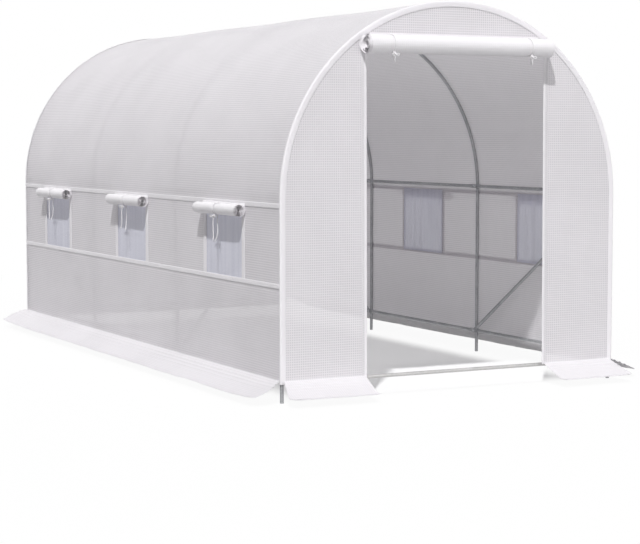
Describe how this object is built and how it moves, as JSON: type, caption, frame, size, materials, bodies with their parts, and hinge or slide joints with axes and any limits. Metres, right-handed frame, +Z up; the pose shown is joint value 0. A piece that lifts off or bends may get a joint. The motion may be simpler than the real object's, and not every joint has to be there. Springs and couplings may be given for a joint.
{
  "type": "polytunnel greenhouse",
  "caption": "Walk-in polytunnel with tube hoops, a round-topped woven film cover, a doorway and screened side windows with rolled-up covers, and ground skirts.",
  "frame": {"origin": "on the ground, in the middle of the tunnel's plan", "axes": "+X across the width, to the right as seen from the doorway, +Y along the length away from the doorway, +Z up"},
  "size_m": [2.356, 4.356, 2.001],
  "materials": {
    "galvanised_tube": "dull galvanised steel tube",
    "cover_film": "translucent white woven film with a fine square grid",
    "skirt_film": "white woven film, folded out",
    "rolled_film": "white woven film, wound in layers",
    "webbing": "white ribbed webbing, sewn",
    "insect_mesh": "fine pale blue-grey insect mesh",
    "tie_cord": "soft white braided cord"
  },
  "bodies": {
    "root": {"front_hoop": "galvanised_tube", "second_hoop": "galvanised_tube", "third_hoop": "galvanised_tube", "rear_hoop": "galvanised_tube", "left_purlin": "galvanised_tube", "right_purlin": "galvanised_tube", "left_base_rail": "galvanised_tube", "right_base_rail": "galvanised_tube", "ridge_beam": "galvanised_tube", "door_sill": "galvanised_tube", "rear_rail": "galvanised_tube", "front_left_brace": "galvanised_tube", "rear_left_brace": "galvanised_tube", "front_right_brace": "galvanised_tube", "rear_right_brace": "galvanised_tube", "left_roof_film": "cover_film", "crown_roof_film": "cover_film", "right_roof_film": "cover_film", "left_wall": "cover_film", "right_wall": "cover_film", "front_wall_left": "cover_film", "front_wall_right": "cover_film", "front_wall_top": "cover_film", "rear_wall": "cover_film", "left_skirt": "skirt_film", "right_skirt": "skirt_film", "rear_skirt": "skirt_film", "front_left_skirt": "skirt_film", "front_right_skirt": "skirt_film", "door_roll": "rolled_film", "left_front_window_roll": "rolled_film", "left_middle_window_roll": "rolled_film", "left_rear_window_roll": "rolled_film", "right_front_window_roll": "rolled_film", "right_middle_window_roll": "rolled_film", "right_rear_window_roll": "rolled_film", "front_binding": "webbing", "rear_binding": "webbing", "left_window_screens": "insect_mesh", "right_window_screens": "insect_mesh", "left_front_window_tie": "tie_cord", "left_middle_window_tie": "tie_cord", "left_rear_window_tie": "tie_cord", "right_front_window_tie": "tie_cord", "right_middle_window_tie": "tie_cord", "right_rear_window_tie": "tie_cord", "left_door_tie": "tie_cord", "right_door_tie": "tie_cord"}
  },
  "joints": []
}
